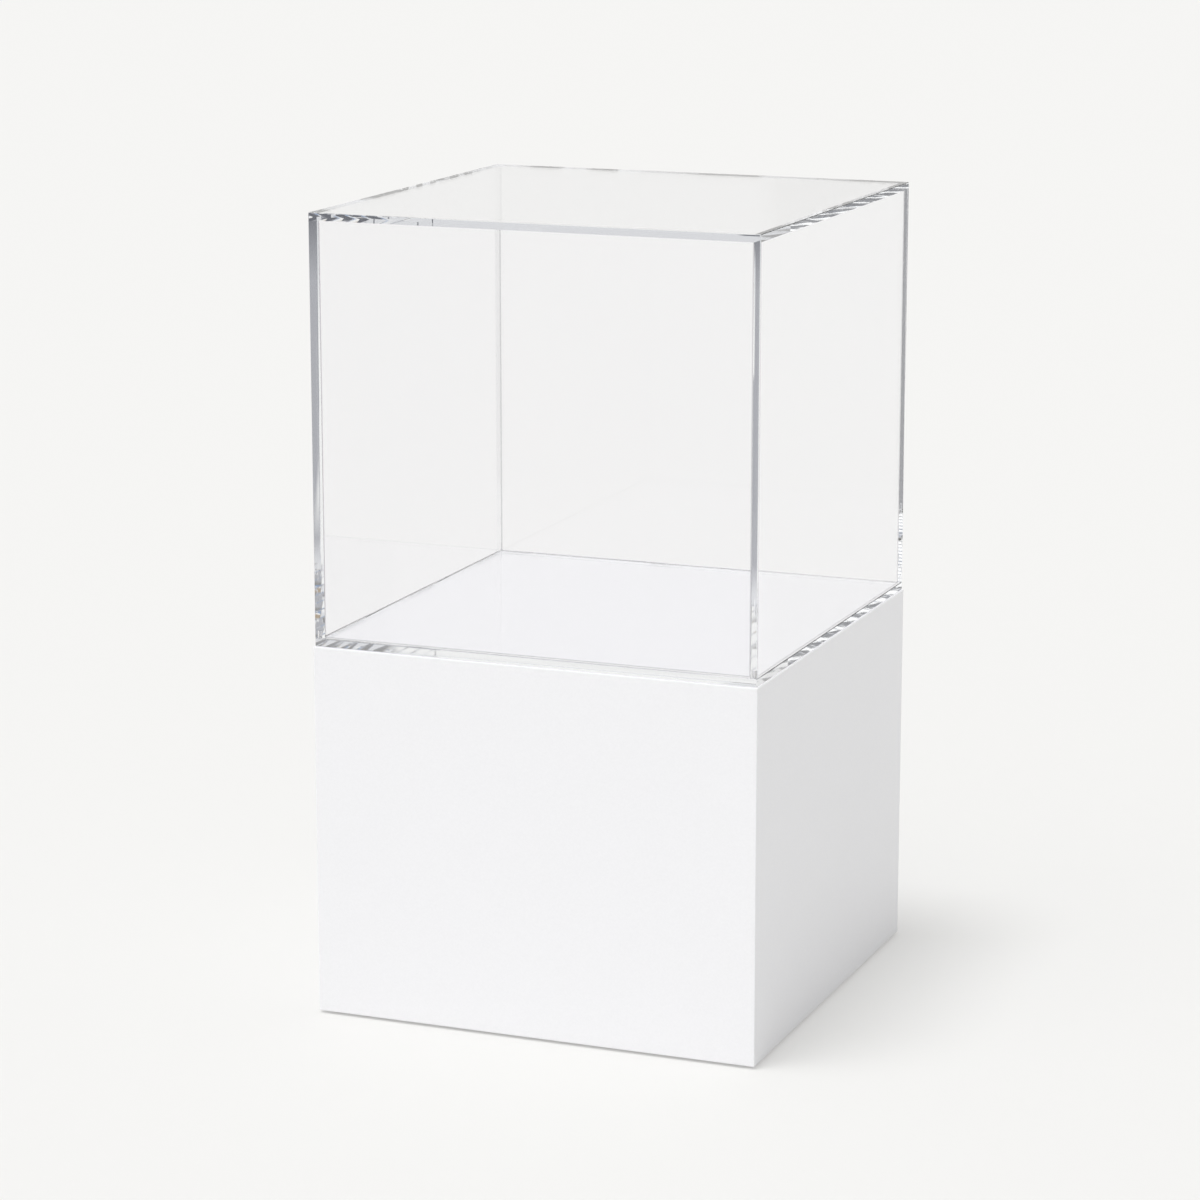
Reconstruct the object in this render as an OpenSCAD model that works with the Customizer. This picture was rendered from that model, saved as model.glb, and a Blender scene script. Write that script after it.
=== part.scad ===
// Pedestal display case: a white lacquered plinth under a clear sheet case. Four walls and a
// top, bonded into one cover, lift straight up off a clear base plate, where four short pins
// locate them. Millimetres. The origin is on the floor under the middle of the plinth, with
// +X to the right, +Z up and the front facing -Y.

/* [Plinth] */
// Side of the square plinth, over its lacquered faces
plinth_w = 450; // [400:10:700]
// Height of the lacquered boards, without the gap under them
plinth_h = 365; // [250:5:1100]
// Thickness of the mitred boards
board_t = 18; // [15:1:25]
// Radius that the lacquered edges are sanded to
edge_r = 1; // [0.5:0.5:3]
// Thickness of the bottom panel
bottom_t = 12; // [9:1:18]
// Gap all round the bottom panel, which is dropped in between the boards
bottom_gap = 0.2; // [0.1:0.1:0.8]

/* [Frame inside the plinth] */
// Width and height of the square strips along the board joints
cleat_w = 25; // [20:1:35]
// Width of the square blocks up the corners
corner_block_w = 30; // [20:1:45]
// Width of the square blocks that take the feet
foot_block_w = 54; // [46:1:70]
// Height of the blocks that take the feet
foot_block_h = 25; // [24:1:40]

/* [Bottom screws] */
// Diameter of a screw
screw_d = 4; // [3:0.5:5]
// Diameter of its countersunk head
screw_head_d = 8; // [7:0.5:10]
// Length of a screw, head included
screw_l = 30; // [20:1:34]
// Length of its point
screw_point = 4; // [2:1:6]
// Distance between the two screws of one side
screw_spacing = 180; // [60:10:220]
// Clearance round a screw in its hole
screw_clearance = 0.05; // [0.02:0.01:0.2]

/* [Levelling feet] */
// Gap that the feet hold between the floor and the boards
floor_gap = 2.5; // [1:0.5:6]
// Diameter of a pad
pad_d = 30; // [26:1:38]
// Height of a pad
pad_h = 9; // [8:0.5:14]
// Height of the upright rim of a pad
pad_rim_h = 3; // [1.5:0.5:4]
// Diameter of the flat on top of a pad
pad_top_d = 16; // [15:0.5:20]
// Bevel round the underside of a pad
pad_bevel = 0.5; // [0.2:0.1:1]
// Thickness of the pad under the stud's head
pad_floor_t = 3.5; // [2:0.5:4]
// Thickness of the lip that holds the stud's head in the pad
pad_lip_t = 1.8; // [1:0.2:2.2]
// Clearance round the stud's head and neck in the pad
swivel_clearance = 0.1; // [0.05:0.05:0.3]
// Diameter of the stud
stud_d = 8; // [6:1:10]
// Diameter of the stud's round head
stud_head_d = 10; // [9.5:0.5:12]
// Distance across the flats of the stud's hexagon
hexagon_w = 13; // [11:1:15]
// Height of the hexagon
hexagon_h = 4.5; // [3:0.5:6]
// Gap between the pad and the hexagon
hexagon_gap = 0.5; // [0.2:0.1:1]
// Room left over the hexagon with the plinth let right down
head_room = 1; // [0.5:0.5:5]
// Bevel on the end of the stud
stud_bevel = 1; // [0.5:0.1:1.5]
// Diameter of the stud's hole in the bottom panel and above the insert
stud_hole_d = 11; // [10.5:0.5:12]
// Outside diameter of the threaded insert
insert_d = 12; // [12:0.5:16]
// Length of the threaded insert
insert_l = 18; // [12:1:20]
// Width and spacing of the grooves round the insert
insert_groove_w = 2; // [1:0.5:2]
// Depth of the grooves round the insert
insert_groove_d = 0.6; // [0.3:0.1:1]
// Clearance round the stud in the insert's thread
thread_clearance = 0.08; // [0.02:0.01:0.1]
// Clearance round the insert in its block
insert_clearance = 0.05; // [0.02:0.01:0.2]
// How far the stud stops short of the insert's end
stud_short = 1.5; // [0.5:0.5:4]

/* [Clear case] */
// Thickness of the clear sheet
sheet_t = 8; // [6:1:12]
// Height inside the cover
clear_h = 400; // [200:10:900]
// How far the clear case stands in from the plinth's faces
case_inset = 1.5; // [0.5:0.5:10]
// Width of the polished bevel along the outer edges of the sheet
sheet_bevel = 0.6; // [0.2:0.1:1.2]
// Film between the plinth and the base plate, and between the base plate and the cover
film_gap = 0.1; // [0.05:0.05:0.3]

/* [Locating pins] */
// Diameter of a pin
pin_d = 4; // [3:0.5:5]
// Depth of a pin in the base plate
pin_seat = 5; // [3:0.5:5.5]
// Height that a pin stands above the base plate
pin_rise = 7; // [4:1:12]
// Bevel on the end of a pin
pin_bevel = 1; // [0.5:0.1:1.4]
// Clearance round a pin in the base plate
pin_seat_clearance = 0.03; // [0.01:0.01:0.1]
// Clearance round and over a pin in the cover
pin_socket_clearance = 0.2; // [0.1:0.05:0.5]

/* [Hidden] */

$fn = 72;

// Turns about +Z that take the front to each side
front = 0;
right = 90;
back = 180;
left = 270;

// Corners, as signs of X and Y
front_left = [-1, -1];
front_right = [1, -1];
back_left = [-1, 1];
back_right = [1, 1];
corners = [front_left, front_right, back_left, back_right];

// Colours
lacquer = [0.96, 0.96, 0.96];
fibreboard = [0.72, 0.58, 0.42];
softwood = [0.87, 0.73, 0.52];
zinc = [0.78, 0.79, 0.80];
brass = [0.80, 0.65, 0.30];
dark_nylon = [0.16, 0.16, 0.17];
clear_sheet = [0.80, 0.92, 0.95, 0.35];

// Heights of the plinth's pieces above the floor
plinth_top = floor_gap + plinth_h;
foot_stack_h = pad_h + hexagon_gap + hexagon_h;
bottom_z = floor_gap + foot_stack_h + head_room;
frame_z = bottom_z + bottom_t;
deck_z = plinth_top - board_t;
deck_cleat_z = deck_z - cleat_w;
foot_block_top = frame_z + foot_block_h;
insert_top = frame_z + insert_l;

// Width between the boards, and how far the mitre cuts run out past the plinth
inner_w = plinth_w - 2 * board_t;
cut_over = board_t;

// Middle of a foot, and of a side strip, from the plinth's axis
foot_x = inner_w / 2 - foot_block_w / 2;
cleat_y = inner_w / 2 - cleat_w / 2;

// Radii round the stud
stud_r = stud_d / 2 - thread_clearance;
swivel_r = stud_head_d / 2 + swivel_clearance;
pad_lip_r = stud_r + swivel_clearance;
hexagon_r = hexagon_w / 2 / cos(30);

// The clear case
case_w = plinth_w - 2 * case_inset;
base_plate_z = plinth_top + film_gap;
base_plate_top = base_plate_z + sheet_t;
cover_z = base_plate_top + film_gap;
cover_h = clear_h - film_gap + sheet_t;
cover_top_z = cover_z + cover_h - sheet_t;
case_inner_w = case_w - 2 * sheet_t;
pin_x = case_w / 2 - sheet_t / 2;

// ---- Outlines and shared shapes ----

// A rectangle of w by h, centred, with corners of radius r
module rounded_outline(w, h, r) {
    square([w - 2 * r, h], center = true);
    square([w, h - 2 * r], center = true);
    for (x = [-1, 1], y = [-1, 1])
        translate([x * (w / 2 - r), y * (h / 2 - r)])
            circle(r = r);
}

// A rectangle of w by h, centred, with corners cut at 45 degrees by b
module bevelled_outline(w, h, b) {
    polygon([
        [-w / 2 + b, -h / 2], [w / 2 - b, -h / 2], [w / 2, -h / 2 + b], [w / 2, h / 2 - b],
        [w / 2 - b, h / 2], [-w / 2 + b, h / 2], [-w / 2, h / 2 - b], [-w / 2, -h / 2 + b]
    ]);
}

// A square block of side w and height h, standing on z = 0. The first child is its outline
// from above, and the second its outline from the front and from the side.
module outlined_block(w, h) {
    translate([0, 0, h / 2])
        intersection() {
            linear_extrude(h, center = true) children(0);
            rotate([90, 0, 0]) linear_extrude(w, center = true) children(1);
            rotate([90, 0, 90]) linear_extrude(w, center = true) children(1);
        }
}

// An upright square block of side w in a corner between the boards
module corner_post(corner, w, z, h) {
    translate([corner.x * (inner_w - w) / 2, corner.y * (inner_w - w) / 2, z + h / 2])
        cube([w, w, h], center = true);
}

// A strip of square section and length l, along the front, turned to its side
module side_strip(side, l, z) {
    rotate([0, 0, side])
        translate([0, -cleat_y, z + cleat_w / 2])
            cube([l, cleat_w, cleat_w], center = true);
}

// Places its child at each foot
module at_foot(corner) {
    translate([corner.x * foot_x, corner.y * foot_x, 0])
        children();
}

// Places its child at each bottom screw
module at_bottom_screws() {
    for (side = [front, right, back, left], x = [-1, 1])
        rotate([0, 0, side])
            translate([x * screw_spacing / 2, -cleat_y, bottom_z])
                children();
}

// ---- Plinth boards ----

// The whole plinth before it is cut into boards
module plinth_body() {
    translate([0, 0, floor_gap])
        outlined_block(plinth_w, plinth_h) {
            rounded_outline(plinth_w, plinth_w, edge_r);
            rounded_outline(plinth_w, plinth_h, edge_r);
        }
}

// A mitre wedge across the plinth: wide outside and narrow inside
module mitre_wedge(l) {
    linear_extrude(l)
        polygon([
            [-plinth_w / 2 - cut_over, -plinth_w / 2 - cut_over],
            [plinth_w / 2 + cut_over, -plinth_w / 2 - cut_over],
            [inner_w / 2, -inner_w / 2],
            [-inner_w / 2, -inner_w / 2]
        ]);
}

// A side board, mitred to both its neighbours and to the deck
module side_panel(side) {
    color(lacquer)
        rotate([0, 0, side])
            intersection() {
                plinth_body();
                mitre_wedge(plinth_top + cut_over);
                rotate([90, 0, 90])
                    linear_extrude(plinth_w + 2 * cut_over, center = true)
                        polygon([
                            [-plinth_w / 2 - cut_over, 0],
                            [-inner_w / 2, 0],
                            [-inner_w / 2, deck_z],
                            [-plinth_w / 2 - cut_over, plinth_top + cut_over]
                        ]);
            }
}

// The top board, mitred to all four side boards
module deck() {
    deck_outline = [
        [-inner_w / 2, deck_z],
        [inner_w / 2, deck_z],
        [plinth_w / 2 + cut_over, plinth_top + cut_over],
        [-plinth_w / 2 - cut_over, plinth_top + cut_over]
    ];
    color(lacquer)
        intersection() {
            plinth_body();
            intersection_for (turn = [front, right])
                rotate([90, 0, turn])
                    linear_extrude(plinth_w + 2 * cut_over, center = true)
                        polygon(deck_outline);
        }
}

// The panel that closes the plinth from below, drilled for the feet and the screws
module bottom_panel() {
    panel_w = inner_w - 2 * bottom_gap;
    color(fibreboard)
        difference() {
            translate([0, 0, bottom_z + bottom_t / 2])
                cube([panel_w, panel_w, bottom_t], center = true);
            for (corner = corners)
                at_foot(corner)
                    cylinder(h = foot_block_top, d = stud_hole_d);
            at_bottom_screws()
                countersunk_screw(screw_clearance);
        }
}

// ---- Frame inside the plinth ----

// A strip glued under the deck: the front and back ones run through
module deck_cleat(side) {
    runs_through = side == front || side == back;
    l = runs_through ? inner_w : inner_w - 2 * cleat_w;
    color(softwood)
        side_strip(side, l, deck_cleat_z);
}

// A strip glued round the bottom panel, between two foot blocks
module floor_cleat(side) {
    color(softwood)
        difference() {
            side_strip(side, inner_w - 2 * foot_block_w, frame_z);
            at_bottom_screws()
                countersunk_screw(screw_clearance);
        }
}

// A block up a corner, from the foot block to the strips under the deck
module corner_block(corner) {
    color(softwood)
        corner_post(corner, corner_block_w, foot_block_top, deck_cleat_z - foot_block_top);
}

// A block that holds a foot's insert
module foot_block(corner) {
    color(softwood)
        difference() {
            corner_post(corner, foot_block_w, frame_z, foot_block_h);
            at_foot(corner) {
                cylinder(h = insert_top, r = insert_d / 2 + insert_clearance);
                cylinder(h = plinth_top, d = stud_hole_d);
            }
        }
}

// A countersunk screw, head down, grown all round by a clearance to cut its hole
module countersunk_screw(clearance) {
    head_r = screw_head_d / 2;
    shank_r = screw_d / 2;
    rotate_extrude()
        polygon([
            [0, 0],
            [head_r + clearance, 0],
            [shank_r + clearance, head_r - shank_r],
            [shank_r + clearance, screw_l - screw_point],
            [0, screw_l + clearance]
        ]);
}

// The screws that hold the bottom panel up to the floor strips
module bottom_screws() {
    color(zinc)
        at_bottom_screws()
            countersunk_screw(0);
}

// ---- Levelling feet ----

// A threaded insert, grooved outside to hold in its block
module insert(corner) {
    outer_r = insert_d / 2;
    groove_r = outer_r - insert_groove_d;
    color(brass)
        at_foot(corner)
            difference() {
                translate([0, 0, frame_z])
                    rotate_extrude()
                        polygon([
                            [0, 0],
                            [outer_r, 0],
                            [outer_r, insert_groove_w],
                            [groove_r, insert_groove_w],
                            [groove_r, 2 * insert_groove_w],
                            [outer_r, 2 * insert_groove_w],
                            [outer_r, insert_l - 2 * insert_groove_w],
                            [groove_r, insert_l - 2 * insert_groove_w],
                            [groove_r, insert_l - insert_groove_w],
                            [outer_r, insert_l - insert_groove_w],
                            [outer_r, insert_l],
                            [0, insert_l]
                        ]);
                cylinder(h = plinth_top, d = stud_d);
            }
}

// A round pad that stands on the floor, with a lipped socket for the stud's head
module foot_pad(corner) {
    color(dark_nylon)
        at_foot(corner)
            rotate_extrude()
                polygon([
                    [0, 0],
                    [pad_d / 2 - pad_bevel, 0],
                    [pad_d / 2, pad_bevel],
                    [pad_d / 2, pad_rim_h],
                    [pad_top_d / 2, pad_h],
                    [pad_lip_r, pad_h],
                    [pad_lip_r, pad_h - pad_lip_t],
                    [swivel_r, pad_h - pad_lip_t],
                    [swivel_r, pad_floor_t],
                    [0, pad_floor_t]
                ]);
}

// A stud that turns in its pad and screws up into the insert, with a hexagon for a spanner
module foot_stud(corner) {
    head_z = pad_floor_t + swivel_clearance;
    head_top = pad_h - pad_lip_t - swivel_clearance;
    hexagon_z = pad_h + hexagon_gap;
    stud_top = insert_top - stud_short;
    color(zinc)
        at_foot(corner) {
            rotate_extrude()
                polygon([
                    [0, head_z],
                    [stud_head_d / 2, head_z],
                    [stud_head_d / 2, head_top],
                    [stud_r, head_top],
                    [stud_r, stud_top - stud_bevel],
                    [stud_r - stud_bevel, stud_top],
                    [0, stud_top]
                ]);
            translate([0, 0, hexagon_z])
                cylinder(h = hexagon_h, r = hexagon_r, $fn = 6);
        }
}

// ---- Clear case ----

// A square block of clear sheet work with all its outer edges bevelled
module clear_block(z, h) {
    translate([0, 0, z])
        outlined_block(case_w, h) {
            bevelled_outline(case_w, case_w, sheet_bevel);
            bevelled_outline(case_w, h, sheet_bevel);
        }
}

// Places its child on the base plate under each corner of the cover
module at_pins() {
    for (corner = corners)
        translate([corner.x * pin_x, corner.y * pin_x, base_plate_top])
            children();
}

// The clear plate that stays on the plinth, with a blind hole for each pin
module base_plate() {
    color(clear_sheet)
        difference() {
            clear_block(base_plate_z, sheet_t);
            at_pins()
                translate([0, 0, -pin_seat])
                    cylinder(h = pin_seat + pin_rise, r = pin_d / 2 + pin_seat_clearance);
        }
}

// The four clear pins that keep the cover in place
module locating_pins() {
    color(clear_sheet)
        at_pins()
            rotate_extrude()
                polygon([
                    [0, -pin_seat],
                    [pin_d / 2, -pin_seat],
                    [pin_d / 2, pin_rise - pin_bevel],
                    [pin_d / 2 - pin_bevel, pin_rise],
                    [0, pin_rise]
                ]);
}

// The top sheet, which lies over the edges of all four walls
module cover_top() {
    color(clear_sheet)
        intersection() {
            clear_block(cover_z, cover_h);
            translate([0, 0, cover_top_z + sheet_t])
                cube([plinth_w, plinth_w, 2 * sheet_t], center = true);
        }
}

// A wall that runs the full width, at the front or the back, with a socket for each pin
module through_wall(side) {
    color(clear_sheet)
        rotate([0, 0, side])
            difference() {
                intersection() {
                    clear_block(cover_z, cover_h);
                    translate([-plinth_w / 2, -case_inner_w / 2 - 2 * sheet_t, 0])
                        cube([plinth_w, 2 * sheet_t, cover_top_z]);
                }
                at_pins()
                    cylinder(
                        h = pin_rise + pin_socket_clearance,
                        r = pin_d / 2 + pin_socket_clearance
                    );
            }
}

// A wall that stands between the two full-width ones
module between_wall(side) {
    color(clear_sheet)
        rotate([0, 0, side])
            intersection() {
                clear_block(cover_z, cover_h);
                translate([-case_inner_w / 2, -case_inner_w / 2 - 2 * sheet_t, 0])
                    cube([case_inner_w, 2 * sheet_t, cover_top_z]);
            }
}

// ---- Assembly ----

deck();
side_panel(front);  // front_panel
side_panel(right);  // right_panel
side_panel(back);  // back_panel
side_panel(left);  // left_panel
bottom_panel();
deck_cleat(front);  // deck_cleat_front
deck_cleat(right);  // deck_cleat_right
deck_cleat(back);  // deck_cleat_back
deck_cleat(left);  // deck_cleat_left
floor_cleat(front);  // floor_cleat_front
floor_cleat(right);  // floor_cleat_right
floor_cleat(back);  // floor_cleat_back
floor_cleat(left);  // floor_cleat_left
corner_block(front_left);  // corner_block_front_left
corner_block(front_right);  // corner_block_front_right
corner_block(back_left);  // corner_block_back_left
corner_block(back_right);  // corner_block_back_right
foot_block(front_left);  // foot_block_front_left
foot_block(front_right);  // foot_block_front_right
foot_block(back_left);  // foot_block_back_left
foot_block(back_right);  // foot_block_back_right
bottom_screws();
insert(front_left);  // insert_front_left
insert(front_right);  // insert_front_right
insert(back_left);  // insert_back_left
insert(back_right);  // insert_back_right
foot_pad(front_left);  // foot_pad_front_left
foot_pad(front_right);  // foot_pad_front_right
foot_pad(back_left);  // foot_pad_back_left
foot_pad(back_right);  // foot_pad_back_right
foot_stud(front_left);  // foot_stud_front_left
foot_stud(front_right);  // foot_stud_front_right
foot_stud(back_left);  // foot_stud_back_left
foot_stud(back_right);  // foot_stud_back_right
base_plate();
locating_pins();
cover_top();
through_wall(front);  // cover_front
between_wall(right);  // cover_right
through_wall(back);  // cover_back
between_wall(left);  // cover_left
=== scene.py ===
"""Looks of the pedestal display case: a white lacquered pedestal under a clear acrylic case.

Lengths are in metres, and outlines in millimetres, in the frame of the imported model: +Z up,
+X to the right, and the front facing -Y. The clear cover, its base plate with the pins, the
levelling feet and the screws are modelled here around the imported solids. The boards and the
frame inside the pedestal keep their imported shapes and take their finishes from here.
"""

import logging
import math
from contextlib import contextmanager
from dataclasses import dataclass
from enum import Enum
from typing import Callable, Iterable, Iterator, Mapping, Sequence

import bmesh
import bpy
from bmesh.types import BMEdge, BMesh, BMFace
from bpy.types import Material, Node, NodeSocket, NodeTree, Object
from mathutils import Euler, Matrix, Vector


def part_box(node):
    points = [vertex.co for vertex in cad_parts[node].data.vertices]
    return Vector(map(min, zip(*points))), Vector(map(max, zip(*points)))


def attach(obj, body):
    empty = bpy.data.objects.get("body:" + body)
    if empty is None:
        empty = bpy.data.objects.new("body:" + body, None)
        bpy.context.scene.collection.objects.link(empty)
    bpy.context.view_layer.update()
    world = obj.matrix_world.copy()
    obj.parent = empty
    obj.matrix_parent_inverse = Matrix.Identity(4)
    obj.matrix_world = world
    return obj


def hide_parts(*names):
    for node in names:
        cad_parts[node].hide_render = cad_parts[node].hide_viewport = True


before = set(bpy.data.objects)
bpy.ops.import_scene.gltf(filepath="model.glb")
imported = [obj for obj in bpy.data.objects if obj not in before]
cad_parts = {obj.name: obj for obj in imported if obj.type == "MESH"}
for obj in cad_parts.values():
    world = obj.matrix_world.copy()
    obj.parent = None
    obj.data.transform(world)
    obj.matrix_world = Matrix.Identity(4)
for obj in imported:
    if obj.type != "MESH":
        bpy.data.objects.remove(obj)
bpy.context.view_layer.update()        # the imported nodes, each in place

LOG = logging.getLogger("display_case")
MERGE = 1e-6           # points closer than this are one
FLAT = 0.999           # a face is level where its normal's Z is more than this
NOISE = (0.3, 0.7)     # the range that most of a noise's values lie in
FLOAT = "NodeSocketFloat"
COLOUR = "NodeSocketColor"

Colour = tuple[float, float, float]
Span = tuple[float, float]                   # where a change starts and where it ends
Outline = tuple[tuple[float, float], ...]    # radius and height of each point, in millimetres


class Side(Enum):
    """The sides of the pedestal and of the cover."""

    FRONT = "front"
    RIGHT = "right"
    BACK = "back"
    LEFT = "left"


class Corner(Enum):
    """The corners of the case, each with the signs of its X and Y."""

    FRONT_LEFT = (-1, -1)
    FRONT_RIGHT = (1, -1)
    BACK_LEFT = (-1, 1)
    BACK_RIGHT = (1, 1)

    @property
    def label(self) -> str:
        """The corner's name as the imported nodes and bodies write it."""
        return self.name.lower()


class Pick(Enum):
    """What is selected in edit mode."""

    FACES = "FACE"
    EDGES = "EDGE"


class Merge(Enum):
    """What becomes of a solid and a tool that is applied to it."""

    JOINED = "UNION"
    CUT = "DIFFERENCE"
    COMMON = "INTERSECT"


# ---- Modelling helpers ----


def activate(obj: Object) -> None:
    """Selects one object alone and makes it the active one.

    Args:
        obj: The object that the next operator acts on.
    """
    bpy.ops.object.select_all(action="DESELECT")
    obj.select_set(True)
    bpy.context.view_layer.objects.active = obj


@contextmanager
def editing(obj: Object) -> Iterator[BMesh]:
    """Opens one object in edit mode, and puts it back into object mode at the end.

    Args:
        obj: The object.

    Returns:
        Its mesh, as it is edited.
    """
    activate(obj)
    bpy.ops.object.mode_set(mode="EDIT")
    yield bmesh.from_edit_mesh(obj.data)
    bpy.ops.object.mode_set(mode="OBJECT")


def newest(name: str) -> Object:
    """Names the primitive that was just added, and puts its place into its mesh.

    Args:
        name: The object's name.

    Returns:
        The object, at the origin, unturned and unscaled.
    """
    obj = bpy.context.active_object
    obj.name = obj.data.name = name
    bpy.ops.object.transform_apply(location=True, rotation=True, scale=True)
    return obj


def add_block(name: str, low: Vector, high: Vector) -> Object:
    """Adds a block between two corners.

    Args:
        name: The object's name.
        low: Its lowest corner.
        high: Its highest corner.

    Returns:
        The block.
    """
    bpy.ops.object.select_all(action="DESELECT")
    bpy.ops.mesh.primitive_cube_add(size=1, location=(low + high) / 2, scale=high - low)
    return newest(name)


def add_rod(name: str, foot: Vector, length: float, radius: float, sides: int) -> Object:
    """Adds an upright rod.

    Args:
        name: The object's name.
        foot: The middle of its lower end.
        length: Its length.
        radius: Its radius, to the corners.
        sides: How many sides it has, the first corner towards the back.

    Returns:
        The rod.
    """
    bpy.ops.object.select_all(action="DESELECT")
    bpy.ops.mesh.primitive_cylinder_add(
        vertices=sides, radius=radius, depth=length, location=foot + Vector((0, 0, length / 2))
    )
    return newest(name)


def select(obj: Object, pick: Pick, wanted: Callable[[BMEdge | BMFace], bool]) -> None:
    """Selects faces or edges of an object in edit mode, and nothing else.

    Args:
        obj: The object in edit mode.
        pick: Whether faces or edges are selected.
        wanted: Says whether one of them is.
    """
    bpy.ops.mesh.select_mode(type=pick.value)
    mesh = bmesh.from_edit_mesh(obj.data)
    for element in mesh.faces if pick is Pick.FACES else mesh.edges:
        element.select_set(wanted(element))
    mesh.select_flush_mode()
    bmesh.update_edit_mesh(obj.data)


def is_upright(edge: BMEdge) -> bool:
    """Says whether an edge runs straight up."""
    way = edge.verts[1].co - edge.verts[0].co
    return abs(way.z) > MERGE and way.xy.length < MERGE


def lies_at(height: float) -> Callable[[BMEdge], bool]:
    """Makes the test for the edges that lie at a height."""
    return lambda edge: all(abs(point.co.z - height) < MERGE for point in edge.verts)


def bevel_edges(
    obj: Object,
    width: float,
    segments: int,
    wanted: Callable[[BMEdge], bool] = lambda edge: True,
) -> None:
    """Bevels chosen edges of the object.

    Args:
        obj: The object, in object mode.
        width: The bevel's width.
        segments: How many faces go round it.
        wanted: Says whether an edge is bevelled.
    """
    with editing(obj):
        select(obj, Pick.EDGES, wanted)
        bpy.ops.mesh.bevel(offset=width, segments=segments, profile=0.5, affect="EDGES")


def combine(obj: Object, tools: Sequence[Object], merge: Merge) -> Object:
    """Applies other solids to an object, and removes them.

    Args:
        obj: The object that is changed.
        tools: The solids.
        merge: Whether they are joined to it or cut out of it, or only what they share is kept.

    Returns:
        The object.
    """
    for tool in tools:
        cut = obj.modifiers.new("combine", "BOOLEAN")
        cut.operation = merge.value
        cut.solver = "EXACT"
        cut.object = tool
        activate(obj)
        bpy.ops.object.modifier_apply(modifier=cut.name)
        bpy.data.objects.remove(tool, do_unlink=True)
    return obj


def place_copy(obj: Object, name: str, shift: Vector, turn: float = 0) -> Object:
    """Copies an object with its mesh, turns it about the Z axis and then shifts it.

    Args:
        obj: The object.
        name: The copy's name.
        shift: How far it is shifted.
        turn: How far it is turned, in radians.

    Returns:
        The copy, with its place in its mesh.
    """
    twin = obj.copy()
    twin.data = obj.data.copy()
    twin.name = twin.data.name = name
    bpy.context.collection.objects.link(twin)
    twin.rotation_euler = (0, 0, turn)
    twin.location = shift
    activate(twin)
    bpy.ops.object.transform_apply(location=True, rotation=True, scale=True)
    return twin


def join(name: str, parts: Sequence[Object]) -> Object:
    """Puts separate shapes into one object.

    Args:
        name: The object's name.
        parts: The shapes.

    Returns:
        The object.
    """
    activate(parts[0])
    for part in parts:
        part.select_set(True)
    bpy.ops.object.join()
    parts[0].name = parts[0].data.name = name
    return parts[0]


@dataclass(frozen=True)
class Thread:
    """A screw thread that is cut into an upright rod.

    Args:
        pitch: The rise of one turn.
        depth: How deep it is cut.
        flat: The share of a flank that the crest and the root each take.
        run_out: The length over which it fades out at each end.
        cuts: How often the rod's length is cut, twice over.
    """

    pitch: float
    depth: float
    flat: float = 0.12
    run_out: float = 0.0006
    cuts: int = 13

    def cut(self, rod: Object) -> None:
        """Cuts the thread.

        Args:
            rod: An upright rod with flat ends.
        """
        with editing(rod):
            for _ in range(2):
                select(rod, Pick.EDGES, is_upright)
                bpy.ops.mesh.subdivide(number_cuts=self.cuts)
        places = [vertex.co for vertex in rod.data.vertices]
        low = min(place.z for place in places)
        high = max(place.z for place in places)
        middle = sum(places, Vector()) / len(places)
        group = rod.vertex_groups.new(name="thread")
        for index, place in enumerate(places):
            angle = math.atan2(place.y - middle.y, place.x - middle.x) / math.tau
            phase = ((place.z - low) / self.pitch - angle) % 1
            share = (1 - abs(2 * phase - 1) - self.flat) / (1 - 2 * self.flat)
            ends = min(place.z - low, high - place.z) / self.run_out
            group.add([index], max(0.0, min(share, ends, 1.0)), "REPLACE")
        groove = rod.modifiers.new("thread", "DISPLACE")
        groove.vertex_group = group.name
        groove.direction = "NORMAL"
        groove.mid_level = 0
        groove.strength = -self.depth
        bpy.ops.object.modifier_apply(modifier=groove.name)
        rod.vertex_groups.clear()


def in_metres(outline: Outline, foot: float = 0.0) -> list[tuple[float, float]]:
    """Turns an outline into metres, and sets it up at the height of its foot."""
    return [(radius / 1000, foot + height / 1000) for radius, height in outline]


def spin_profile(
    name: str, points: Sequence[tuple[float, float]], centre: Vector, steps: int
) -> Object:
    """Turns an outline about an upright axis into a closed body.

    Args:
        name: The object's name.
        points: Radius and height of each point, from the axis round and back to it.
        centre: The point of the axis at height 0.
        steps: How many steps go round.

    Returns:
        The body.
    """
    bpy.ops.object.select_all(action="DESELECT")
    bpy.ops.mesh.primitive_plane_add(size=1)
    obj = newest(name)
    with editing(obj) as mesh:
        bmesh.ops.delete(mesh, geom=mesh.verts[:], context="VERTS")
        line = [mesh.verts.new(centre + Vector((r, 0, z))) for r, z in points]
        for start, end in zip(line, line[1:]):
            mesh.edges.new((start, end))
        bmesh.update_edit_mesh(obj.data)
        bpy.ops.mesh.select_all(action="SELECT")
        bpy.ops.mesh.spin(
            steps=steps, angle=math.tau, center=centre, axis=(0, 0, 1), use_auto_merge=True
        )
        bpy.ops.mesh.select_all(action="SELECT")
        bpy.ops.mesh.remove_doubles(threshold=MERGE)
        bpy.ops.mesh.normals_make_consistent(inside=False)
    return obj


def smooth(obj: Object, angle: float = math.radians(35)) -> None:
    """Shades an object smooth, apart from edges that are bent by more than an angle."""
    activate(obj)
    bpy.ops.object.shade_smooth_by_angle(angle=angle)


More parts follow.
